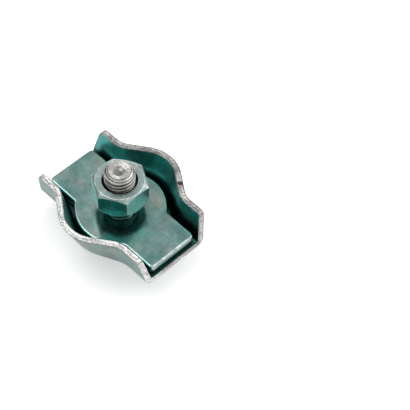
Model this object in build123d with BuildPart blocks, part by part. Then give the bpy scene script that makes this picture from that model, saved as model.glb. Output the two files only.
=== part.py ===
from build123d import *
import math
import os

# Flat single-bolt wire rope clip: a pressed sheet channel that bulges around its bolt, a loose
# pressure plate inside it, a hexagon bolt and a hexagon nut. The rope's two lengths lie in the
# channel, one on each side of the bolt, and the plate presses them onto the channel's floor.
# Millimetres. The origin is the centre of the bolt head's underside; +Z runs up the bolt and
# +X along the rope.

# ---- channel ----
sheet = 1.0
wall_across = 1.05
wall_height = 6.2
floor_length = 24.8
wall_top_length = 22.8
end_rise = 1.0
wall_corner_radius = 1.0
bend_radius_outside = 1.5
bend_radius_inside = 0.5
channel_hole_radius = 2.75
overrun = 1.0

# The channel's outer plan at its foot and at its rim: half width of the straight ends, half
# width at the bulge, the bulge's radius, the shoulders' angle and the radius that blends them.
foot_plan = (5.8, 8.3, 7.8, 24.0, 6.0)
rim_plan = (7.05, 10.85, 6.1, 35.5, 3.0)

# ---- pressure plate ----
plate_length = 23.6
plate_end_width = 9.1
plate_disc_radius = 7.3
plate_thickness = 1.5
plate_gap_below = 0.34
plate_corner_radius = 0.8
plate_neck_radius = 0.8
plate_edge_radius = 0.35
plate_hole_radius = 2.65

# ---- M5 thread ----
thread_radius = 2.5
thread_pitch = 0.8
thread_play = 0.05
ridge_embed = 0.15
ridge_trim = 0.05

# ---- bolt: 12 mm under the head, 8 mm across the flats ----
hex_across_flats = 8.0
hex_corner_radius = hex_across_flats / math.sqrt(3)
hex_face_radius = 3.8
head_height = 3.5
head_chamfer = 0.45
head_play = 0.05
bolt_length = 12.0
bolt_crest_radius = 2.42
bolt_root_radius = 2.0
thread_runout = 1.2
end_chamfer = 0.6
end_flat_radius = 1.67
dimple_radius = 0.95
dimple_depth = 0.3

# ---- nut ----
nut_height = 4.4
nut_gap = 2.42
nut_angle = 31.0
nut_top_chamfer = 0.5
nut_foot_chamfer = 1.25
nut_root_radius = 2.53
nut_crest_radius = 2.14
countersink_radius = 2.8
countersink_depth = 0.55

# ---- heights along the bolt ----
channel_bottom = head_height + head_play
floor_top = channel_bottom + sheet
channel_top = channel_bottom + wall_height
plate_bottom = floor_top + plate_gap_below
plate_top = plate_bottom + plate_thickness
nut_bottom = plate_top + nut_gap
nut_top = nut_bottom + nut_height
bolt_top = head_height + bolt_length
thread_start = head_height + thread_runout

os.makedirs("parts", exist_ok=True)


def draw_channel_plan(height, inset):
    """Draws the channel's closed plan at a height above its underside, moved inwards by inset."""
    share = height / wall_height
    plan = [foot + (rim - foot) * share for foot, rim in zip(foot_plan, rim_plan)]
    end_half_width, bulge_half_width, bulge_radius, shoulder_angle, blend_radius = plan
    end_x = floor_length / 2 + overrun
    end_y = end_half_width - inset
    bulge_centre_y = bulge_half_width - bulge_radius
    radius = bulge_radius - inset
    angle = math.radians(shoulder_angle)
    shoulder = Vector(radius * math.sin(angle), bulge_centre_y + radius * math.cos(angle))
    slant = Vector(math.cos(angle), -math.sin(angle))
    corner = shoulder + slant * ((shoulder.Y - end_y) / math.sin(angle))
    reach = (blend_radius + inset) * math.tan(angle / 2)
    straight_end = corner + Vector(reach, 0)
    blend_end = corner - slant * reach
    Line((end_x, 0), (end_x, end_y))
    Line((end_x, end_y), straight_end)
    TangentArc(straight_end, blend_end, tangent=(-1, 0))
    Line(blend_end, shoulder)
    TangentArc(shoulder, (0, bulge_centre_y + radius), tangent=-slant)
    mirror(about=Plane.YZ)
    mirror(about=Plane.XZ)


def ridge_width(radius, play):
    """Width of a thread's ridge at a radius, with play taken off it or, if negative, added."""
    return thread_pitch / 8 + 2 * (thread_radius - radius) * math.tan(math.radians(30)) - play


def thread_turn(root_radius, crest_radius, play):
    """One turn of a thread's ridge, from the +X side round to the +X side, one pitch higher."""
    foot_width = ridge_width(root_radius - ridge_embed, play)
    crest_width = ridge_width(crest_radius, play)
    with BuildPart() as turn:
        with BuildLine() as helix:
            Helix(thread_pitch, thread_pitch, root_radius)
        with BuildSketch(Plane(helix.line @ 0, x_dir=(1, 0, 0), z_dir=helix.line % 0)):
            with BuildLine():
                Polyline(
                    (-ridge_embed, -foot_width / 2),
                    (crest_radius - root_radius, -crest_width / 2),
                    (crest_radius - root_radius, crest_width / 2),
                    (-ridge_embed, foot_width / 2),
                    close=True,
                )
            make_face()
        sweep(path=helix.line, is_frenet=True)
    return turn.part


# ---- base plate: floor and two flared walls, pressed from one sheet ----
with BuildPart() as base_plate:
    for height in (0, wall_height):
        with BuildSketch(Plane.XY.offset(channel_bottom + height)):
            with BuildLine():
                draw_channel_plan(height, 0)
            make_face()
    loft()
    outer_foot = base_plate.edges().group_by(Axis.Z)[0]
    fillet([edge for edge in outer_foot if abs(edge.center().X) < floor_length / 2], bend_radius_outside)
    for height in (sheet, wall_height):
        with BuildSketch(Plane.XY.offset(channel_bottom + height)):
            with BuildLine():
                draw_channel_plan(height, wall_across)
            make_face()
    loft(mode=Mode.SUBTRACT)
    inner_foot = base_plate.faces().filter_by(Axis.Z).sort_by(Axis.Z)[1].edges()
    fillet([edge for edge in inner_foot if abs(edge.center().X) < floor_length / 2], bend_radius_inside)
    with BuildSketch(Plane.XZ):
        with BuildLine():
            Polyline(
                (-floor_length / 2, channel_bottom),
                (floor_length / 2, channel_bottom),
                (floor_length / 2, channel_bottom + end_rise),
                (wall_top_length / 2, channel_top),
                (-wall_top_length / 2, channel_top),
                (-floor_length / 2, channel_bottom + end_rise),
                close=True,
            )
        make_face()
        fillet(vertices().group_by(Axis.Y)[-1], wall_corner_radius)
    extrude(amount=rim_plan[1] + overrun, both=True, mode=Mode.INTERSECT)
    with BuildSketch(Plane.XY.offset(channel_bottom)):
        Circle(channel_hole_radius)
    extrude(amount=sheet, mode=Mode.SUBTRACT)
base_plate.part.label = "base_plate"
export_step(base_plate.part, "parts/base_plate.step")

# ---- pressure plate: a bar with a round middle, loose on the bolt ----
with BuildPart() as pressure_plate:
    with BuildSketch(Plane.XY.offset(plate_bottom)):
        Rectangle(plate_length, plate_end_width)
        fillet(vertices(), plate_corner_radius)
        Circle(plate_disc_radius)
        necks = vertices().filter_by(lambda corner: abs(corner.X) < plate_disc_radius)
        fillet(necks, plate_neck_radius)
        Circle(plate_hole_radius, mode=Mode.SUBTRACT)
    extrude(amount=plate_thickness)
    top_face = pressure_plate.faces().sort_by(Axis.Z)[-1]
    fillet(top_face.outer_wire().edges(), plate_edge_radius)
pressure_plate.part.label = "pressure_plate"
export_step(pressure_plate.part, "parts/pressure_plate.step")

# ---- bolt: hexagon head, threaded shank with a chamfered, dimpled end ----
bolt_turn = thread_turn(bolt_root_radius, bolt_crest_radius + ridge_trim, thread_play)
turns_on_bolt = math.ceil((bolt_top - thread_start) / thread_pitch)
with BuildPart() as bolt:
    with BuildSketch():
        RegularPolygon(hex_corner_radius, 6)
    extrude(amount=head_height)
    with BuildSketch(Plane.XY.offset(head_height)):
        Circle(bolt_root_radius)
    extrude(amount=bolt_length)
    with Locations([(0, 0, thread_start + turn * thread_pitch) for turn in range(turns_on_bolt)]):
        add(bolt_turn)
    with BuildSketch(Plane.XZ):
        with BuildLine():
            Polyline(
                (0, 0),
                (hex_face_radius, 0),
                (hex_corner_radius, head_chamfer),
                (hex_corner_radius, head_height),
                (bolt_crest_radius, head_height),
                (bolt_crest_radius, bolt_top - end_chamfer),
                (end_flat_radius, bolt_top),
                (dimple_radius, bolt_top),
                (0, bolt_top - dimple_depth),
                close=True,
            )
        make_face()
    revolve(axis=Axis.Z, mode=Mode.INTERSECT)
bolt.part.label = "bolt"
export_step(bolt.part, "parts/bolt.step")

# ---- tap: what the nut's thread is cut with, a bolt that is larger by the play ----
tap_turn = thread_turn(nut_crest_radius, nut_root_radius, -thread_play)
first_turn = math.floor((nut_bottom - thread_start) / thread_pitch) - 1
turn_after_last = math.ceil((nut_top - thread_start) / thread_pitch) + 1
with BuildPart() as tap:
    with BuildSketch(Plane.XY.offset(nut_bottom - overrun)):
        Circle(nut_crest_radius)
    extrude(amount=nut_height + 2 * overrun)
    nut_turns = range(first_turn, turn_after_last)
    with Locations([(0, 0, thread_start + turn * thread_pitch) for turn in nut_turns]):
        add(tap_turn)

# ---- nut: chamfered hexagon, countersunk at both ends ----
with BuildPart() as nut:
    with BuildSketch(Plane.XY.offset(nut_bottom)):
        RegularPolygon(hex_corner_radius, 6, rotation=nut_angle)
    extrude(amount=nut_height)
    with BuildSketch(Plane.XZ):
        with BuildLine():
            Polyline(
                (0, nut_bottom + countersink_depth),
                (nut_crest_radius, nut_bottom + countersink_depth),
                (countersink_radius, nut_bottom),
                (hex_face_radius, nut_bottom),
                (hex_corner_radius, nut_bottom + nut_foot_chamfer),
                (hex_corner_radius, nut_top - nut_top_chamfer),
                (hex_face_radius, nut_top),
                (countersink_radius, nut_top),
                (nut_crest_radius, nut_top - countersink_depth),
                (0, nut_top - countersink_depth),
                close=True,
            )
        make_face()
    revolve(axis=Axis.Z, mode=Mode.INTERSECT)
    add(tap.part, mode=Mode.SUBTRACT)
nut.part.label = "nut"
export_step(nut.part, "parts/nut.step")
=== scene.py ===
import math

import bpy
import numpy as np
from mathutils import Matrix, Vector, noise


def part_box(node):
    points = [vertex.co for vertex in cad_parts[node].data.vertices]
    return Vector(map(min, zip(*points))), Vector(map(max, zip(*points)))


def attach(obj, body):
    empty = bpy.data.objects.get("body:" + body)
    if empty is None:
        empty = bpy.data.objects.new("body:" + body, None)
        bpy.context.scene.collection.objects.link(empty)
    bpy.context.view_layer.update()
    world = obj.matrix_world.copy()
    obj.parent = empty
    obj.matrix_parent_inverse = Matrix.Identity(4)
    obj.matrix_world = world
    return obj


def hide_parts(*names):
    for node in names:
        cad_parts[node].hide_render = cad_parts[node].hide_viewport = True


# Flat single-bolt wire rope clip. Lengths are in millimetres in the frame's axes, and become metres
# when a mesh is made. Each CAD node is stood for by a finer mesh of the same shape, with broken
# edges, sheared rims and rolled threads.

MM = 0.001

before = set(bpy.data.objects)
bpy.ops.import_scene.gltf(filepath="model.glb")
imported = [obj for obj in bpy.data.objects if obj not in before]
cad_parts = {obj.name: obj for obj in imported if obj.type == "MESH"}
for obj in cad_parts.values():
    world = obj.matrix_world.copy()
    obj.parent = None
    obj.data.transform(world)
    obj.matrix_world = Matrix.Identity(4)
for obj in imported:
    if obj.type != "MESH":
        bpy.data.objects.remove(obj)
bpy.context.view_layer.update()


def node_box(node):
    """Lowest and highest corners of a CAD node, in millimetres."""
    low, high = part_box(node)
    return np.array(low) / MM, np.array(high) / MM


base_low, base_high = node_box("base_plate")
plate_low, plate_high = node_box("pressure_plate")
bolt_low, bolt_high = node_box("bolt")
nut_low, nut_high = node_box("nut")

# ---- channel ----
SHEET = 1.0
WALL_ACROSS = 1.05
WALL_HEIGHT = base_high[2] - base_low[2]
CHANNEL_BOTTOM = base_low[2]
END_X = base_high[0]
END_LEAN = 1.0
END_TOP_X = END_X - END_LEAN
END_RISE = 1.0
CORNER_RADIUS = 1.0
BEND_OUTSIDE = 1.5
BEND_INSIDE = 0.5
CHANNEL_HOLE = 2.75
HOLE_EDGE = 0.1
HOLE_WINDOW = 3.9
RIM_ROUNDING = 0.16
CHANNEL_COLUMNS = 236
RIPPLE = 0.02
# The channel's outer plan at its foot and at its rim: half width of the straight ends, half width
# at the bulge, the bulge's radius, the shoulders' angle in degrees and the radius that blends them.
FOOT_PLAN = np.array([5.8, 8.3, 7.8, 24.0, 6.0])
RIM_PLAN = np.array([7.05, 10.85, 6.1, 35.5, 3.0])
# On the +Y rim: a rust spot, and beside it a stretch left bright as a painted highlight.
RUST_SPOT = np.array([4.95, 8.1, base_high[2] - 0.05])
RUST_RADIUS = 0.45
RIM_HIGHLIGHT_X, RIM_HIGHLIGHT_REACH = 6.3, 0.9

# ---- pressure plate ----
PLATE_END_X = plate_high[0]
PLATE_END_Y = 4.55
PLATE_DISC = plate_high[1]
PLATE_CORNER = 0.8
PLATE_NECK = 0.8
PLATE_HOLE = 2.65
PLATE_TOP_EDGE = 0.33
PLATE_FOOT_EDGE = 0.12
HOLE_BREAK = 0.16

# ---- hexagons ----
FLATS = 4.0
HEX_CORNER = FLATS / math.cos(math.radians(30))
HEX_CORNER_ROUNDING = 0.1
HEX_FACE = 3.8
HEAD_HEIGHT = 3.5
HEAD_CHAMFER = 0.45
NUT_ANGLE = 31.0
NUT_TOP_CHAMFER = 0.5
NUT_FOOT_CHAMFER = 1.25
NUT_MOUTH, NUT_SINK = 2.8, 0.55

# ---- M5 thread and the bolt's end ----
THREAD_RADIUS = 2.5
PITCH = 0.8
THREAD_START = 4.7
THREAD_PLAY = 0.05
CREST_ROUNDING = 0.009
BOLT_CREST, BOLT_ROOT = 2.42, 2.0
NUT_CREST, NUT_ROOT = 2.14, 2.53
END_CHAMFER = 0.6
END_CHAMFER_TOP, END_FLAT = 1.72, 1.67
END_GROOVES = (1.83, 2.17)
GROOVE_HALF_WIDTH, GROOVE_DEPTH = 0.06, 0.06
TURNED_RING_PITCH = 0.24
DIMPLE_RADIUS = 1.05


# ======================================================================= mesh helpers

class Shell:
    """Points, faces and one value per point for each named attribute, gathered piece by piece.
    inner is 1 where the tinted film is and 0 where the zinc is plain, and it also carries painted
    light and shade on the channel's inside, the nut's sides and the bolt's shank. cut is 1 on bare
    metal, and also carries painted highlights on the plate's top edge and the nut's crown. The
    third attribute darkens, for dirt and rust and as painted shade."""

    def __init__(self):
        self.points, self.faces = [], []
        self.inner, self.cut, self.grime = [], [], []

    def add(self, points, inner=0.0, cut=0.0, grime=0.0):
        """Adds an array of points and returns their indices in the same shape."""
        points = np.asarray(points, float)
        first = len(self.points)
        count = points.size // 3
        self.points.extend(points.reshape(-1, 3).tolist())
        for values, given in ((self.inner, inner), (self.cut, cut), (self.grime, grime)):
            values.extend(np.broadcast_to(given, points.shape[:-1]).ravel().tolist())
        return np.arange(first, first + count).reshape(points.shape[:-1])

    def bridge(self, a, b):
        """Quads between two closed rows of indices."""
        n = len(a)
        for i in range(n):
            j = (i + 1) % n
            self.faces.append((int(a[i]), int(a[j]), int(b[j]), int(b[i])))

    def fan(self, ring, centre):
        """Triangles from a closed ring to one point."""
        n = len(ring)
        for i in range(n):
            self.faces.append((int(ring[i]), int(ring[(i + 1) % n]), int(centre)))

    def grid(self, index, window, flip):
        """Quads over a grid of indices, except in a window of it."""
        low_row, high_row, low_column, high_column = window
        rows, columns = index.shape
        for j in range(rows - 1):
            for i in range(columns - 1):
                if low_row <= j < high_row and low_column <= i < high_column:
                    continue
                quad = (index[j, i], index[j, i + 1], index[j + 1, i + 1], index[j + 1, i])
                self.faces.append(tuple(int(k) for k in (quad[::-1] if flip else quad)))

    def piece(self, name, body, slot, node, material):
        """Makes the mesh object, puts it on its body and hides the CAD node that it stands for."""
        mesh = bpy.data.meshes.new(name)
        mesh.from_pydata((np.array(self.points) * MM).tolist(), [], self.faces)
        for label, values in (("inner", self.inner), ("cut", self.cut), ("grime", self.grime)):
            attribute = mesh.attributes.new(label, "FLOAT", "POINT")
            attribute.data.foreach_set("value", np.array(values, np.float32))
        mesh.validate()
        mesh.shade_smooth()
        mesh.materials.append(material)
        piece = bpy.data.objects.new(name, mesh)
        bpy.context.scene.collection.objects.link(piece)
        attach(piece, body)
        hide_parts(node)
        return piece


def lerp(a, b, t):
    """The value at a share t of the way from a to b."""
    return a + (b - a) * t


def unit(v):
    """Vectors scaled to length 1."""
    return v / np.maximum(np.linalg.norm(v, axis=-1, keepdims=True), 1e-12)


def ramp(value, start, length):
    """0 up to start, rising to 1 over a length, which may be negative to rise the other way."""
    return np.clip((value - start) / length, 0, 1)


def grain(points, size, seed):
    """Smooth noise, about -1 to 1, at each point, with features of a size in millimetres."""
    flat = np.asarray(points).reshape(-1, 3)
    values = [noise.noise(Vector((p[0] / size + seed, p[1] / size - seed, p[2] / size))) for p in flat]
    return np.array(values).reshape(np.asarray(points).shape[:-1])


# ======================================================================= base plate

def half_width(x, height, inset):
    """The channel's half width at a distance x along it and a height over its underside."""
    x = np.abs(x)
    share = (np.asarray(height) / WALL_HEIGHT)[..., None]
    end, bulge, radius, angle, blend = np.moveaxis(FOOT_PLAN + (RIM_PLAN - FOOT_PLAN) * share, -1, 0)
    angle = np.radians(angle)
    end_y, centre_y = end - inset, bulge - radius
    radius, blend = radius - inset, blend + inset
    shoulder_x, shoulder_y = radius * np.sin(angle), centre_y + radius * np.cos(angle)
    corner_x = shoulder_x + (shoulder_y - end_y) / np.tan(angle)
    reach = blend * np.tan(angle / 2)
    straight_x, slant_x = corner_x + reach, corner_x - reach * np.cos(angle)
    on_bulge = centre_y + np.sqrt(np.maximum(radius**2 - x**2, 0))
    on_slant = shoulder_y - (x - shoulder_x) * np.tan(angle)
    on_blend = end_y + blend - np.sqrt(np.maximum(blend**2 - (x - straight_x) ** 2, 0))
    stretches = [x <= shoulder_x, x <= slant_x, x <= straight_x]
    return np.select(stretches, [on_bulge, on_slant, on_blend], end_y)


def end_reach(height):
    """How far the channel reaches along X at a height, drawn in by the rounding of its rim."""
    slope = Vector((END_X - END_TOP_X, WALL_HEIGHT - END_RISE)).normalized()
    across, up = slope.y, slope.x
    line = across * END_X + up * END_RISE
    centre_z = WALL_HEIGHT - CORNER_RADIUS
    centre_x = (line - CORNER_RADIUS - up * centre_z) / across
    radius = CORNER_RADIUS - RIM_ROUNDING
    on_line = np.minimum((line - RIM_ROUNDING - up * height) / across, END_X - RIM_ROUNDING)
    on_corner = centre_x + np.sqrt(np.maximum(radius**2 - (height - centre_z) ** 2, 0))
    return np.where(height > centre_z + radius * up, on_corner, on_line)


def wall_levels(first):
    """Heights of the rows up a wall, closer together round its top corners."""
    radius = CORNER_RADIUS - RIM_ROUNDING
    centre_z = WALL_HEIGHT - CORNER_RADIUS
    straight = np.linspace(first, centre_z + 0.1, 20)[1:]
    corner_turns = np.radians(np.linspace(14, 90, 10))
    return np.concatenate([straight, centre_z + radius * np.sin(corner_turns)])


def half_section(along, floor_z, inset, bend):
    """Rows of points from the channel's middle line up to one rim. along runs from -1 to 1."""
    mean_lean = math.atan((RIM_PLAN[0] - FOOT_PLAN[0]) / WALL_HEIGHT)
    bend_top = floor_z + bend * (1 - math.sin(mean_lean))
    levels = wall_levels(bend_top)

    def foot(x):
        """Where the bend starts across the floor, and how far the wall leans above it."""
        corner = half_width(x, np.full_like(x, floor_z), inset)
        above = half_width(x, np.full_like(x, floor_z + bend), inset)
        lean = np.arctan((above - corner) / bend)
        return corner - bend * np.tan((np.pi / 2 - lean) / 2), lean

    rows = []
    floor_x = along * end_reach(floor_z)
    for share in (*np.linspace(0, 0.94, 12), 0.985):
        rows.append(np.stack([floor_x, foot(floor_x)[0] * share, np.full_like(floor_x, floor_z)], -1))
    for share in np.linspace(0, 1, 9):
        x = along * end_reach(lerp(floor_z, bend_top, share))
        start_y, lean = foot(x)
        turn = lerp(-np.pi / 2, -lean, share)
        y, z = start_y + bend * np.cos(turn), floor_z + bend + bend * np.sin(turn)
        rows.append(np.stack([x, y, z], -1))
    for level in levels:
        share = (level - bend_top) / (levels[-1] - bend_top)
        x = along * end_reach(level)
        start_y, lean = foot(x)
        first_z = floor_z + bend - bend * np.sin(lean)
        z = lerp(first_z, levels[-1], share)
        gap = start_y + bend * np.cos(lean) - half_width(x, first_z, inset)
        rows.append(np.stack([x, half_width(x, z, inset) + gap * (1 - share), z], -1))
    return np.array(rows)


def whole_section(floor_z, inset, bend):
    """Rows of points from the -Y rim across the floor to the +Y rim."""
    along = np.linspace(-1, 1, CHANNEL_COLUMNS + 1)
    right = half_section(along, floor_z, inset, bend)
    left = right[:0:-1] * [1, -1, 1]
    return np.concatenate([left, right])


def outside_darkening(outside):
    """Darker just under the rim, and painted shade round the bend, where the wall turns down towards the
    floor.
    """
    level = outside[..., 2] - CHANNEL_BOTTOM
    under_rim = 0.3 * ramp(level, WALL_HEIGHT - 0.9, 0.7)
    round_bend = 0.35 * ramp(level, 1.7, -1.2)
    # The bend is darkened as painted shade; the stretch under the rim is only made darker.
    darkening = (under_rim + round_bend) * (0.7 + 0.5 * grain(outside, 1.6, 5.5)) * (level > 0.05)
    return np.clip(darkening, 0, 1)


def inside_painted_shade(inside):
    """Painted shade low in the channel, reaching highest in the +Y wall's +X half, where it also
    stands for a dark reflection, and painted shade on that wall's -X end."""
    x, y, z = np.moveaxis(inside, -1, 0)
    dark_top = np.where(y > 0, 3.3 + 1.7 * ramp(x, 2.5, 3.0), 2.3)
    depth = ramp(z, CHANNEL_BOTTOM + dark_top, -1.3)
    off_end = ramp(np.abs(x), END_X - 0.4, -2.0)
    shade = 0.45 * ramp(x, -7.5, -3.0) * (y > 4)
    return np.maximum(depth * (0.9 + 0.1 * off_end), shade)


def border(low_row, high_row, low_column, high_column):
    """Rows and columns of the points round a rectangle of a grid, in order."""
    loop = [(low_row, i) for i in range(low_column, high_column)]
    loop += [(j, high_column) for j in range(low_row, high_row)]
    loop += [(high_row, i) for i in range(high_column, low_column, -1)]
    loop += [(j, low_column) for j in range(high_row, low_row, -1)]
    return tuple(np.array(loop).T)


def hole_window(outside):
    """First and last rows and columns of the floor's window round the bolt's hole."""
    row, column = outside.shape[0] // 2, outside.shape[1] // 2
    rows = int(np.argmin(np.abs(outside[row:, column, 1] - HOLE_WINDOW)))
    columns = int(np.argmin(np.abs(outside[row, column:, 0] - HOLE_WINDOW)))
    return row - rows, row + rows, column - columns, column + columns


def bolt_hole(shell, window, outside, out_index, inside, in_index):
    """Narrows the window in the floor to the bolt's round hole."""
    place = border(*window)
    rims = []
    for index, surface, on_top in ((out_index, outside, False), (in_index, inside, True)):
        start = surface[place]
        direction = unit(start[:, :2])
        end = np.concatenate([direction * (CHANNEL_HOLE + HOLE_EDGE), start[:, 2:]], -1)
        previous = index[place]
        for share in (0.5, 0.9, 1.0):
            ring = shell.add(lerp(start, end, share), inner=1.0 if on_top else 0.0)
            shell.bridge(*((ring, previous) if on_top else (previous, ring)))
            previous = ring
        rims.append((previous, direction, start[:, 2:]))
    (foot_ring, direction, foot_z), (floor_ring, _, floor_z) = rims
    low_wall = shell.add(np.concatenate([direction * CHANNEL_HOLE, foot_z + HOLE_EDGE], -1), cut=1.0)
    high_wall = shell.add(np.concatenate([direction * CHANNEL_HOLE, floor_z - HOLE_EDGE], -1), cut=1.0)
    shell.bridge(foot_ring, low_wall)
    shell.bridge(low_wall, high_wall)
    shell.bridge(high_wall, floor_ring)


def rim_profile():
    """Steps over the sheared edge: how far out, how far in from a face or None where the step is
    between the two corners, and the share of the way from the outside to the inside."""
    r = RIM_ROUNDING
    corner = [(r * math.sin(turn), r * (1 - math.cos(turn))) for turn in np.radians([22.5, 45, 67.5, 90])]
    profile = [(out, depth, 0.0) for out, depth in corner]
    profile += [(r, None, share) for share in (0.12, 0.25, 0.38, 0.5, 0.62, 0.75, 0.88)]
    profile += [(out, -depth, 1.0) for out, depth in reversed(corner)]
    return profile


def rim_darkening(at, outward, depth):
    """Corners that are dark, less so on the -Y rim so that it reads lighter as a painted highlight,
    darker ends, a +Y rim darkened as painted shade except over a stretch left bright as a painted
    highlight, and a rust spot."""
    corner = 0.0 if depth is None else 0.7 * (0.3 + abs(depth) / RIM_ROUNDING)
    # The -Y rim's corners are kept lighter: a painted highlight.
    corner = corner * np.where(at[:, 1] < -3, 0.4, 1.0)
    end = (0.3 + 0.2 * (at[:, 1] > 3)) * np.abs(outward[:, 0])
    rim_highlight = np.exp(-((at[:, 0] - RIM_HIGHLIGHT_X) / RIM_HIGHLIGHT_REACH) ** 2)
    # Painted shade along the +Y rim, left out over the painted highlight's stretch.
    rim_shade = ramp(at[:, 1], 0, 4) * np.clip(0.8 + grain(at, 1.5, 3.9), 0, 1) * (1 - rim_highlight)
    near_spot = np.exp(-np.sum((at - RUST_SPOT) ** 2, -1) / RUST_RADIUS**2)
    rust = np.clip(2.4 * near_spot * np.clip(1.0 + 0.7 * grain(at, 0.3, 8.8), 0, 1) - 0.15, 0, 1)
    return np.maximum.reduce([corner, end, 0.5 * rim_shade, rust])


def sheared_edge(shell, outside, inside, out_index, in_index):
    """The cut edge of the sheet, which runs round both rims and both ends."""
    last_row, last_column = out_index.shape[0] - 1, out_index.shape[1] - 1
    place = border(0, last_row, 0, last_column)
    start, finish = outside[place], inside[place]
    thickness = np.linalg.norm(finish - start, axis=-1, keepdims=True)
    through = (finish - start) / thickness
    centre_line = (start + finish) / 2
    tangent = unit(np.roll(centre_line, -1, 0) - np.roll(centre_line, 1, 0))
    outward = unit(np.cross(tangent, through))
    inwards = outside[np.clip(place[0], 1, last_row - 1), np.clip(place[1], 1, last_column - 1)]
    outward *= np.sign(np.sum(outward * (start - inwards), -1, keepdims=True))
    previous = out_index[place]
    for out, depth, share in rim_profile():
        if depth is None:
            at = start + through * lerp(RIM_ROUNDING, thickness - RIM_ROUNDING, share)
        else:
            at = (finish if share else start) + through * depth
        rough = 0.8 * grain(at, 0.4, 7.7) + 0.5 * grain(at, 1.2, 1.3) + 0.5 * grain(at, 0.2, 4.2)
        # The middle of the cut is torn more than its corners.
        torn = math.sin(math.pi * share) if depth is None else 0.35
        push = out - 0.012 * torn - 0.06 * torn * np.abs(rough)
        dirt_and_shade = rim_darkening(at, outward, depth)
        ring = shell.add(at + outward * push[:, None], inner=share, cut=1.0, grime=dirt_and_shade)
        shell.bridge(previous, ring)
        previous = ring
    shell.bridge(previous, in_index[place])


def base_shell():
    shell = Shell()
    outside = whole_section(0.0, 0.0, BEND_OUTSIDE)
    inside = whole_section(SHEET, WALL_ACROSS, BEND_INSIDE)
    # Pressing leaves the walls very slightly uneven.
    ripple = RIPPLE * grain(outside, 5.0, 3.1) * ramp(outside[..., 2], 0, 3)
    for surface in (outside, inside):
        surface[..., 1] += ripple * np.sign(surface[..., 1])
        surface[..., 2] += CHANNEL_BOTTOM
    # The inside has the film in full and the outside only a little of it: the film is real, and the
    # difference paints the deeper teal of light bounced between the channel's walls.
    film_outside = np.clip(0.14 + 0.2 * grain(outside, 3.0, 2.6), 0, 1)
    out_index = shell.add(outside, inner=film_outside, grime=outside_darkening(outside))
    in_index = shell.add(inside, inner=1.0, grime=inside_painted_shade(inside))
    window = hole_window(outside)
    shell.grid(out_index, window, flip=False)
    shell.grid(in_index, window, flip=True)
    bolt_hole(shell, window, outside, out_index, inside, in_index)
    sheared_edge(shell, outside, inside, out_index, in_index)
    return shell


# ======================================================================= pressure plate

def arc(centre, radius, first, last, count):
    """Points round a circle, from one angle to another in degrees."""
    turns = np.radians(np.linspace(first, last, count))
    return np.stack([centre[0] + radius * np.cos(turns), centre[1] + radius * np.sin(turns)], -1)


def plate_outline():
    """The plate's outline, anticlockwise from +X: a bar with rounded corners and a round middle."""
    corner = (PLATE_END_X - PLATE_CORNER, PLATE_END_Y - PLATE_CORNER)
    neck_y = PLATE_END_Y + PLATE_NECK
    reach = PLATE_DISC + PLATE_NECK
    neck = (math.sqrt(reach**2 - neck_y**2), neck_y)
    neck_angle = math.degrees(math.atan2(neck[1], neck[0]))
    end = np.stack([np.full(12, PLATE_END_X), np.linspace(0, corner[1], 12)], -1)
    side = np.stack([np.linspace(corner[0], neck[0], 16), np.full(16, PLATE_END_Y)], -1)
    quarter = np.concatenate([
        end,
        arc(corner, PLATE_CORNER, 0, 90, 12)[1:],
        side[1:],
        arc(neck, PLATE_NECK, 270, 180 + neck_angle, 8)[1:],
        arc((0, 0), PLATE_DISC, neck_angle, 90, 26)[1:],
    ])
    half = np.concatenate([quarter, quarter[-2::-1] * [-1, 1]])
    return np.concatenate([half, (half[1:-1] * [1, -1])[::-1]])


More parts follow.
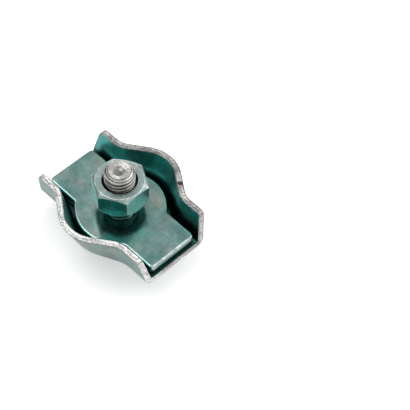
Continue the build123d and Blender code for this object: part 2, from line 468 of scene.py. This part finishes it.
def plate_shell():
    """Closed rings that run up the hole, out over the top, down the edge and back underneath."""
    shell = Shell()
    outline = plate_outline()
    tangent = unit(np.roll(outline, -1, 0) - np.roll(outline, 1, 0))
    outward = np.stack([tangent[:, 1], -tangent[:, 0]], -1)
    direction = unit(outline)
    bottom, top = plate_low[2], plate_high[2]

    def ring(flat, z, cut=0.0, grime=0.0):
        points = np.concatenate([flat, np.full((len(flat), 1), float(z))], -1)
        if np.any(cut):
            rough = grain(points, 0.4, 2.2) + 0.5 * grain(points, 0.18, 5.0)
            points[:, :2] -= outward * (0.015 * np.broadcast_to(cut, rough.shape) * np.abs(rough))[:, None]
        return shell.add(points, inner=1.0, cut=cut, grime=grime)

    hole = direction * PLATE_HOLE
    mouth = direction * (PLATE_HOLE + HOLE_BREAK)
    rings = [
        # The hole's wall is darkened as painted shade.
        ring(hole, bottom + 0.12, grime=0.8),
        ring(hole, top - 0.15, grime=0.8),
        ring(direction * (PLATE_HOLE + 0.05), top - 0.045),
        ring(mouth, top),
    ]

    flat_line = outline - outward * (PLATE_TOP_EDGE + 0.06)
    for share in (0.04, 0.3, 0.6, 0.85, 1.0):
        rings.append(ring(lerp(mouth, flat_line, share), top))

    # The rounded top edge is given bare metal half way round as a painted highlight, most of all at the +X
    # end.
    for turn in np.radians(np.linspace(0, 90, 9)):
        line = outline - outward * (PLATE_TOP_EDGE * (1 - math.sin(turn)))
        edge_highlight = math.sin(turn * 2) ** 2 if turn < 1.2 else 0.2
        edge_highlight = edge_highlight * (0.45 + 0.55 * ramp(outline[:, 0], 10.2, 1.0))
        rings.append(ring(line, top - PLATE_TOP_EDGE * (1 - math.cos(turn)), edge_highlight))
    # The sides are darkened as painted shade, in a line just under the top edge and towards the foot.
    for share in (0.15, 0.3, 0.45, 0.6, 0.75, 0.9):
        side_shade = 0.35 if share < 0.2 else max(0.0, 1.3 * (share - 0.45))
        z = lerp(top - PLATE_TOP_EDGE, bottom + PLATE_FOOT_EDGE, share)
        rings.append(ring(outline, z, 0.3, side_shade))
    for turn in np.radians([0, 30, 60, 90]):
        line = outline - outward * (PLATE_FOOT_EDGE * (1 - math.cos(turn)))
        rings.append(ring(line, bottom + PLATE_FOOT_EDGE * (1 - math.sin(turn)), 0.5))

    flat_line = outline - outward * (PLATE_FOOT_EDGE + 0.06)
    for share in (0.0, 0.5, 1.0):
        rings.append(ring(lerp(flat_line, direction * (PLATE_HOLE + 0.12), share), bottom))
    for k, a in enumerate(rings):
        shell.bridge(rings[(k + 1) % len(rings)], a)
    return shell


# ======================================================================= hexagons and threads

def hexagon(angle):
    """Directions and distances of a hexagon with slightly rounded corners, one corner at angle."""
    turns, reaches = [], []
    centre = (FLATS - HEX_CORNER_ROUNDING) / math.cos(math.radians(30))
    for side in range(6):
        corner_turn = math.radians(angle + 60 * side)
        for bend in np.radians(np.linspace(-30, 30, 7)):
            x = centre + HEX_CORNER_ROUNDING * math.cos(bend)
            y = HEX_CORNER_ROUNDING * math.sin(bend)
            turns.append(corner_turn + math.atan2(y, x))
            reaches.append(math.hypot(x, y))
        edge = turns[-1] - corner_turn
        for share in np.linspace(0, 1, 19)[1:-1]:
            turn = lerp(edge, math.radians(60) - edge, share)
            turns.append(corner_turn + turn)
            reaches.append(FLATS / math.cos(turn - math.radians(30)))
    return np.array(turns), np.array(reaches)


def circle_ring(turns, radius, z):
    """Points at a radius and a height, either of which may change with the angle."""
    radius, z = np.broadcast_to(radius, turns.shape), np.broadcast_to(z, turns.shape)
    return np.stack([radius * np.cos(turns), radius * np.sin(turns), z], -1)


def chamfer_rows(turns, reaches, face_z, drop):
    """Rows from the hexagon's round face over its cone and down onto its flats, with both edges
    broken. drop is the cone's height at the corners, negative where the face looks down."""
    slope = drop / (HEX_CORNER - HEX_FACE)
    sign = math.copysign(1, slope)
    meet = face_z - (reaches - HEX_FACE) * slope
    rows = [circle_ring(turns, HEX_FACE - inset, face_z) for inset in (0.10, 0.03)]
    rows.append(circle_ring(turns, HEX_FACE + 0.03, face_z - 0.03 * slope))
    for share in (0.35, 0.7, 1.0):
        radius = lerp(HEX_FACE + 0.03, reaches - 0.035, share)
        rows.append(circle_ring(turns, radius, face_z - (radius - HEX_FACE) * slope))
    for inset, below in ((0.008, 0.012), (0.0, 0.05), (0.0, 0.14)):
        rows.append(circle_ring(turns, reaches - inset, meet - sign * below))
    return rows


def soft_clamp(value, low, high, soft):
    """A clamp whose corners are rounded over a short distance."""
    above = soft * np.logaddexp(0, (value - low) / soft) + low
    return high - soft * np.logaddexp(0, (high - above) / soft)


def thread_radius(turns, z, root, crest, play):
    """A thread's radius at an angle and a height. Its crest meets the +X side at THREAD_START."""
    off = (z - THREAD_START) / PITCH - turns / (2 * math.pi)
    off = np.abs(off - np.round(off)) * PITCH
    flank = THREAD_RADIUS - (off * 2 - PITCH / 8 + play) / 2 / math.tan(math.radians(30))
    return soft_clamp(flank, root, crest, CREST_ROUNDING)


def head_rows(turns, reaches):
    """Rows over the bolt's head, from the middle of its face up to the shank."""
    rows = [circle_ring(turns, radius, 0.0) for radius in (0.05, 1.5, 3.2)]
    rows += chamfer_rows(turns, reaches, 0.0, -HEAD_CHAMFER)
    rows += [circle_ring(turns, reaches, z) for z in (1.6, 2.4, HEAD_HEIGHT - 0.15, HEAD_HEIGHT - 0.05)]
    rows.append(circle_ring(turns, reaches - 0.015, HEAD_HEIGHT - 0.015))
    rows.append(circle_ring(turns, reaches - 0.05, HEAD_HEIGHT))
    for radius, above in ((3.2, 0), (2.12, 0), (2.03, 0.03), (2.0, 0.12)):
        rows.append(circle_ring(turns, radius, HEAD_HEIGHT + above))
    return rows


def thread_rows(turns):
    """Rows up the bolt's thread and its chamfer, each with how much it is darkened: painted shade in
    the thread's valleys and in the chamfer's two fine turned grooves."""
    top = bolt_high[2]
    chamfer_bottom = top - END_CHAMFER
    shank_levels = np.arange(HEAD_HEIGHT + 0.3, chamfer_bottom, 0.032)
    chamfer_levels = np.arange(chamfer_bottom, top - 0.012, 0.014)
    rows = []
    for z in np.concatenate([shank_levels, chamfer_levels]):
        run_out = min(1.0, max(0.0, (z - HEAD_HEIGHT - 0.8) / 0.6))
        radius = thread_radius(turns, z, BOLT_ROOT, BOLT_CREST, THREAD_PLAY)
        radius = lerp(BOLT_ROOT, radius, run_out)
        slope = (BOLT_CREST - END_CHAMFER_TOP) / END_CHAMFER
        cone = BOLT_CREST - max(0.0, z - chamfer_bottom) * slope
        valley = ramp(cone - radius, 0.01, 0.10) * run_out
        radius = np.minimum(radius, cone)
        groove = sum(np.exp(-((radius - at) / GROOVE_HALF_WIDTH) ** 2) for at in END_GROOVES)
        groove = np.clip(1.6 * groove, 0, 1) * (z > chamfer_bottom)
        row = circle_ring(turns, radius - GROOVE_DEPTH * groove, z)
        # Painted shade in the valleys and grooves.
        rows.append((row, 0.92 * np.maximum(valley, groove)))
    return rows


def end_rows(turns):
    """Rows over the bolt's end, each with how much it is darkened: fine turned rings round a dimple,
    cropped a little unevenly, darker in the dimple, in alternate rings and in patches."""
    top = bolt_high[2]
    rows = [
        (circle_ring(turns, END_FLAT + 0.04, top - 0.005), 0.0),
        (circle_ring(turns, END_FLAT, top), 0.0),
    ]
    for radius in np.linspace(END_FLAT - 0.05, 0.06, 40):
        phase = 2 * math.pi * radius / TURNED_RING_PITCH
        sink = 0.2 * ramp(radius, DIMPLE_RADIUS, -0.95)
        row = circle_ring(turns, radius, top - 0.002 - sink - 0.009 * (1 - math.cos(phase)))
        uneven = 0.03 * np.abs(grain(row, 0.5, 9.1)) + 0.02 * np.abs(grain(row, 0.2, 2.4))
        row[:, 2] = np.maximum(row[:, 2] - uneven, top - 0.3)
        end_darkening = ramp(radius, DIMPLE_RADIUS, -0.2) * np.clip(0.35 + 0.5 * grain(row, 0.7, 3.3), 0, 0.6)
        ring_darkening = 0.34 * (0.5 - 0.5 * np.cos(phase))
        end_darkening = np.clip(end_darkening + ring_darkening + 0.3 * np.abs(grain(row, 0.3, 6.1)), 0, 1)
        rows.append((row, end_darkening))
    return rows


def bolt_shell():
    """The head has the film, the shank up to the nut has it as painted shade under the nut, and the bolt's
    end is plain.
    """
    shell = Shell()
    turns, reaches = hexagon(0)
    rows = [(row, 0.0) for row in head_rows(turns, reaches)]
    rings = []
    for row, dirt_and_shade in rows + thread_rows(turns) + end_rows(turns):
        # The shank below the nut is tinted dark teal as painted shade.
        shank_shade = ramp(row[:, 2], nut_low[2] + 0.8, -0.4) * (row[:, 2] > HEAD_HEIGHT)
        head = 0.7 * (row[:, 2] <= HEAD_HEIGHT)
        rings.append(shell.add(row, inner=np.maximum(shank_shade, head), grime=dirt_and_shade))
    for a, b in zip(rings, rings[1:]):
        shell.bridge(a, b)
    foot = shell.add([[0, 0, 0.0]], inner=0.7)[0]
    crown = shell.add([[0, 0, bolt_high[2] - 0.25]], grime=0.5)[0]
    shell.fan(rings[0][::-1], foot)
    shell.fan(rings[-1], crown)
    return shell


def bore_rows(turns):
    """Rows up the nut's thread, between its two countersinks."""
    bottom, top = nut_low[2], nut_high[2]
    rows = []
    for z in np.arange(bottom, top + 0.001, 0.04):
        radius = thread_radius(turns, z, NUT_CREST, NUT_ROOT, -THREAD_PLAY)
        countersink = NUT_MOUTH - (NUT_MOUTH - NUT_CREST) * min(z - bottom, top - z) / NUT_SINK
        rows.append(circle_ring(turns, np.maximum(radius, countersink), min(z, top)))
    return rows


def nut_shell():
    shell = Shell()
    turns, reaches = hexagon(NUT_ANGLE)
    bottom, top = nut_low[2], nut_high[2]
    rows = bore_rows(turns)
    bore = len(rows)
    rows += [circle_ring(turns, radius, top) for radius in (NUT_MOUTH + 0.03, NUT_MOUTH + 0.12, 3.3)]
    rows += chamfer_rows(turns, reaches, top, NUT_TOP_CHAMFER)
    for share in (0.33, 0.66):
        rows.append(circle_ring(turns, reaches, lerp(top - 1.0, bottom + 1.6, share)))
    rows += chamfer_rows(turns, reaches, bottom, -NUT_FOOT_CHAMFER)[::-1]
    rows += [circle_ring(turns, radius, bottom) for radius in (3.3, NUT_MOUTH + 0.05)]
    # Each side is given its own share of the film, which paints some sides lighter and others darker
    #     as painted light, and the top and its chamfer are the palest. The edge round the top is bare as a
    #     painted highlight and the corners are worn; the bore and the foot's edge are darkened as painted
    #     shade.
    side = np.floor(((np.degrees(turns) - NUT_ANGLE) % 360) / 60).astype(int)
    film_and_painted_light = np.array([0.5, 0.6, 0.45, 0.6, 1.0, 0.35])[side]
    corner = ramp(reaches, HEX_CORNER - 0.20, 0.08)
    rings = []
    for k, row in enumerate(rows):
        reach, z = np.linalg.norm(row[:, :2], axis=1), row[:, 2]
        on_side = (reach > reaches - 0.01) & (z < top - 0.2)
        crown = (np.abs(reach - HEX_FACE) < 0.05) & (z > top - 0.2) & (k > bore)
        highlight_and_wear = np.where(crown, 0.8, 0.45 * corner * (z > bottom + 1.0))
        under = z < bottom + 0.3
        foot_edge = under & (np.abs(reach - HEX_FACE) < 0.12)
        shaded = np.full_like(foot_edge, True) if k < bore else foot_edge
        rings.append(shell.add(row, inner=np.where(on_side, film_and_painted_light, under), cut=highlight_and_wear, grime=0.95 * shaded))
    for k, a in enumerate(rings):
        shell.bridge(rings[(k + 1) % len(rings)], a)
    return shell


# ======================================================================= materials

class Graph:
    """A node tree, with short ways to make the nodes that the looks need."""

    def __init__(self, tree):
        self.tree = tree

    def node(self, kind, **settings):
        made = self.tree.nodes.new(kind)
        for key, value in settings.items():
            setattr(made, key, value)
        return made

    def feed(self, slot, value):
        """Links an output to a socket, or sets the socket to a number or a colour."""
        if isinstance(value, bpy.types.NodeSocket):
            self.tree.links.new(value, slot)
        elif isinstance(value, tuple):
            slot.default_value = (*value, 1)
        else:
            slot.default_value = value

    def combine(self, operation, a, b, clamp=False):
        made = self.node("ShaderNodeMath", operation=operation, use_clamp=clamp)
        self.feed(made.inputs[0], a)
        self.feed(made.inputs[1], b)
        return made.outputs[0]

    def mix_colour(self, factor, a, b):
        made = self.node("ShaderNodeMix", data_type="RGBA")
        self.feed(made.inputs[0], factor)
        self.feed(made.inputs[6], a)
        self.feed(made.inputs[7], b)
        return made.outputs[2]

    def mix_number(self, factor, a, b):
        made = self.node("ShaderNodeMix")
        self.feed(made.inputs[0], factor)
        self.feed(made.inputs[2], a)
        self.feed(made.inputs[3], b)
        return made.outputs[0]

    def spread(self, value, low, high, soft=False):
        """0 at low and 1 at high."""
        made = self.node("ShaderNodeMapRange", interpolation_type="SMOOTHSTEP" if soft else "LINEAR")
        made.inputs["From Min"].default_value = low
        made.inputs["From Max"].default_value = high
        self.feed(made.inputs["Value"], value)
        return made.outputs[0]

    def noise(self, place, scale, detail, rough=0.5):
        made = self.node("ShaderNodeTexNoise")
        made.inputs["Scale"].default_value = scale
        made.inputs["Detail"].default_value = detail
        made.inputs["Roughness"].default_value = rough
        self.feed(made.inputs["Vector"], place)
        return made.outputs["Fac"]

    def attribute(self, label):
        return self.node("ShaderNodeAttribute", attribute_name=label).outputs["Fac"]


MOTTLE = (0.11, 0.16, 0.15)
SPECK = (0.09, 0.11, 0.10)
# The dark colours below paint rust and oil, and also painted shade in hollows, gaps and under things.
RUST_AND_SHADE = (0.050, 0.029, 0.027)
BLACK_SHADE_AND_OIL = (0.010, 0.016, 0.015)
BROWN_SHADE_AND_OIL = (0.030, 0.024, 0.018)


def shade(colour, factor):
    """A colour made lighter or darker."""
    return tuple(factor * c for c in colour)


def metal_colour(graph, marks, grains, tint, cloud_tint, haze, silver, bare, darkening_colour):
    """The film, the plain zinc and the cut steel, each with its own variation, and dirt, rust and painted
    shade over all.
    """
    inner, cut, grime = marks
    clouds, blotches, mottle, specks, place = grains
    patches = graph.spread(graph.noise(place, 620, 3), 0.40, 0.56)
    flecks = graph.spread(graph.noise(place, 3300, 3, rough=0.6), 0.50, 0.62)
    film_and_painted_light = graph.mix_colour(clouds, tint, cloud_tint)
    film_and_painted_light = graph.mix_colour(graph.combine("MULTIPLY", blotches, 0.7), film_and_painted_light, haze)
    plain = graph.mix_colour(clouds, silver, shade(silver, 0.8))
    plain = graph.mix_colour(graph.combine("MULTIPLY", blotches, 0.4), plain, shade(silver, 1.35))
    sheared = graph.mix_colour(patches, shade(bare, 0.62), bare)
    sheared = graph.mix_colour(graph.combine("MULTIPLY", flecks, 0.65), sheared, shade(bare, 0.12))
    outside = graph.combine("SUBTRACT", 1.0, inner, clamp=True)
    colour = graph.mix_colour(outside, film_and_painted_light, plain)
    colour = graph.mix_colour(graph.combine("MULTIPLY", mottle, 0.33), colour, MOTTLE)
    colour = graph.mix_colour(cut, colour, sheared)
    colour = graph.mix_colour(graph.combine("MULTIPLY", specks, 0.3), colour, SPECK)
    dirt_and_shade = graph.mix_colour(cut, darkening_colour, RUST_AND_SHADE)
    return graph.mix_colour(graph.combine("MULTIPLY", grime, 0.93), colour, dirt_and_shade)


def metal_roughness(graph, marks, grains, roughness):
    """Roughest where the zinc is plain or specked, with its own value on cut steel."""
    inner, cut, _ = marks
    clouds, _, mottle, specks, _ = grains
    outside = graph.combine("SUBTRACT", 1.0, inner, clamp=True)
    rough = graph.combine("ADD", graph.combine("MULTIPLY", clouds, 0.06), roughness)
    rough = graph.combine("ADD", rough, graph.combine("MULTIPLY", outside, 0.12))
    rough = graph.combine("ADD", rough, graph.combine("MULTIPLY", specks, 0.1), clamp=True)
    on_cut = graph.combine("ADD", graph.combine("MULTIPLY", mottle, 0.16), 0.22)
    return graph.mix_number(cut, rough, on_cut)


def metal_bump(graph, marks, place):
    """A slight wave, fine pits, and a torn surface where the steel is cut."""
    wave = graph.noise(place, 230, 2)
    pits = graph.combine("MULTIPLY", graph.noise(place, 2200, 4, rough=0.6), 0.16)
    torn = graph.combine("MULTIPLY", marks[1], 2.0)
    tear = graph.combine("MULTIPLY", graph.noise(place, 2400, 5, rough=0.7), torn)
    bump = graph.node("ShaderNodeBump")
    bump.inputs["Strength"].default_value = 0.35
    bump.inputs["Distance"].default_value = 0.00006
    graph.feed(bump.inputs["Height"], graph.combine("ADD", graph.combine("ADD", wave, pits), tear))
    return bump.outputs[0]


def metal(name, tint, cloud_tint, haze, silver, bare, roughness, darkening_colour=BLACK_SHADE_AND_OIL):
    """Zinc-plated steel. tint is the film's colour, cloud_tint its lighter clouds and haze its
    yellower blotches. silver is the colour of what the mesh marks as outside the film, and bare
    the colour of what it marks as cut. What it marks in its third attribute is darkened, for dirt
    and rust and as painted shade, towards the given dark colour where it isn't cut and towards a
    rust colour where it is."""
    material = bpy.data.materials.new(name)
    material.use_nodes = True
    graph = Graph(material.node_tree)
    graph.tree.nodes.clear()
    place = graph.node("ShaderNodeTexCoord").outputs["Object"]
    marks = [graph.attribute(label) for label in ("inner", "cut", "grime")]
    grains = (
        graph.spread(graph.noise(place, 420, 4), 0.35, 0.68),
        graph.spread(graph.noise(place, 260, 5, rough=0.6), 0.45, 0.66),
        graph.spread(graph.noise(place, 1100, 4, rough=0.6), 0.35, 0.65),
        graph.spread(graph.noise(place, 2600, 2), 0.64, 0.74),
        place,
    )
    shader = graph.node("ShaderNodeBsdfPrincipled")
    shader.inputs["Metallic"].default_value = 1.0
    colour = metal_colour(graph, marks, grains, tint, cloud_tint, haze, silver, bare, darkening_colour)
    graph.feed(shader.inputs["Base Color"], colour)
    graph.feed(shader.inputs["Roughness"], metal_roughness(graph, marks, grains, roughness))
    graph.feed(shader.inputs["Normal"], metal_bump(graph, marks, place))
    graph.feed(graph.node("ShaderNodeOutputMaterial").inputs[0], shader.outputs[0])
    return material


# The base's deep tint paints the teal of light bounced inside the channel as well as the film.
base_metal = metal(
    "base_zinc", tint=(0.065, 0.60, 0.56), cloud_tint=(0.13, 0.69, 0.65), haze=(0.14, 0.46, 0.42),
    silver=(0.25, 0.27, 0.255), bare=(0.94, 0.95, 0.93), roughness=0.31,
)
plate_metal = metal(
    "plate_zinc", tint=(0.18, 0.38, 0.355), cloud_tint=(0.31, 0.49, 0.46), haze=(0.44, 0.45, 0.395),
    silver=(0.42, 0.44, 0.42), bare=(0.90, 0.96, 0.94), roughness=0.17,
)
# The bolt's tint paints the shade on the shank under the nut as well as the head's film.
bolt_metal = metal(
    "bolt_zinc", tint=(0.14, 0.50, 0.45), cloud_tint=(0.20, 0.56, 0.50), haze=(0.22, 0.50, 0.44),
    silver=(0.90, 0.88, 0.85), bare=(0.8, 0.8, 0.8), roughness=0.12, darkening_colour=BROWN_SHADE_AND_OIL,
)
nut_metal = metal(
    "nut_zinc", tint=(0.08, 0.64, 0.60), cloud_tint=(0.14, 0.70, 0.66), haze=(0.20, 0.58, 0.54),
    silver=(0.38, 0.50, 0.48), bare=(0.85, 0.9, 0.88), roughness=0.20,
)

base_shell().piece("base_channel", "base", "base_zinc", "base_plate", base_metal)
plate_shell().piece("loose_plate", "plate", "plate_zinc", "pressure_plate", plate_metal)
bolt_shell().piece("hexagon_bolt", "bolt", "bolt_zinc", "bolt", bolt_metal)
nut_shell().piece("hexagon_nut", "nut", "nut_zinc", "nut", nut_metal)


# ======================================================================= stage

FLOOR_REACH = 1.2
FLOOR_DROP = 0.00005
FLOOR_GREY = 0.93
FLOOR_GLOW = 0.42

# The room's light, by direction: the direction of a soft-edged patch, the cosines at which the
# patch starts and is full, and its level. Each patch covers the ones before it.
HORIZON_LEVEL = 0.25
ROOM_PATCHES = {
    "sky": ((0, 0, 1), 0.0, 0.6, 0.6),
    "overhead light": ((-0.38, -0.08, 0.92), 0.90, 0.985, 3.0),
    "window at the back right": ((0.5, 0.62, 0.6), 0.75, 0.93, 1.5),
    "dim wall at the back": ((-0.4, 0.8, 0.4), 0.90, 0.985, HORIZON_LEVEL),
    "dark wall at the front left": ((-0.45, -0.85, 0.15), 0.70, 0.92, 0.1),
}

CAMERA_PLACE = Vector((97.43, -83.81, 178.9))
CAMERA_AIM = Vector((9.698, 8.853, 8.0))
CAMERA_ROLL = math.radians(2.465)
CAMERA_LENS, CAMERA_SENSOR = 120.74, 36.0


def stage_floor():
    """A large pale sheet just under the clip, with a little light of its own to keep it white."""
    mesh = bpy.data.meshes.new("floor")
    signs = ((-1, -1), (1, -1), (1, 1), (-1, 1))
    corners = [(x * FLOOR_REACH, y * FLOOR_REACH, -FLOOR_DROP) for x, y in signs]
    mesh.from_pydata(corners, [], [(0, 1, 2, 3)])
    material = bpy.data.materials.new("floor")
    material.use_nodes = True
    shader = material.node_tree.nodes["Principled BSDF"]
    shader.inputs["Base Color"].default_value = (FLOOR_GREY, FLOOR_GREY, FLOOR_GREY, 1)
    shader.inputs["Roughness"].default_value = 0.9
    shader.inputs["Emission Color"].default_value = (1, 1, 1, 1)
    shader.inputs["Emission Strength"].default_value = FLOOR_GLOW
    mesh.materials.append(material)
    floor = bpy.data.objects.new("floor", mesh)
    bpy.context.scene.collection.objects.link(floor)


def camera():
    """Looks down at the clip from its front right, turned a little about its own axis."""
    data = bpy.data.cameras.new("camera")
    data.sensor_width = CAMERA_SENSOR
    data.lens = CAMERA_LENS
    data.clip_start, data.clip_end = 0.005, 10.0
    lens = bpy.data.objects.new("camera", data)
    forward = (CAMERA_AIM - CAMERA_PLACE).normalized()
    level = forward.cross(Vector((0, 0, 1))).normalized()
    up = level.cross(forward)
    right = level * math.cos(CAMERA_ROLL) + up * math.sin(CAMERA_ROLL)
    above = up * math.cos(CAMERA_ROLL) - level * math.sin(CAMERA_ROLL)
    axes = Matrix((right, above, -forward)).transposed().to_4x4()
    lens.matrix_world = Matrix.Translation(CAMERA_PLACE * MM) @ axes
    bpy.context.scene.collection.objects.link(lens)
    bpy.context.scene.camera = lens


def surroundings():
    """A pale room that lights the clip softly from the directions in ROOM_PATCHES."""
    world = bpy.data.worlds.new("room")
    world.use_nodes = True
    graph = Graph(world.node_tree)
    background = graph.tree.nodes["Background"]
    direction = graph.node("ShaderNodeTexCoord").outputs["Generated"]
    level = HORIZON_LEVEL
    for towards, edge, core, light in ROOM_PATCHES.values():
        dot = graph.node("ShaderNodeVectorMath", operation="DOT_PRODUCT")
        dot.inputs[1].default_value = Vector(towards).normalized()
        graph.feed(dot.inputs[0], direction)
        patch = graph.spread(dot.outputs["Value"], edge, core, soft=True)
        level = graph.mix_number(patch, level, light)
    graph.feed(background.inputs["Color"], level)
    background.inputs["Strength"].default_value = 1.0
    bpy.context.scene.world = world


stage_floor()
surroundings()
camera()
bpy.context.scene.view_settings.view_transform = "Standard"
bpy.context.scene.view_settings.look = "None"
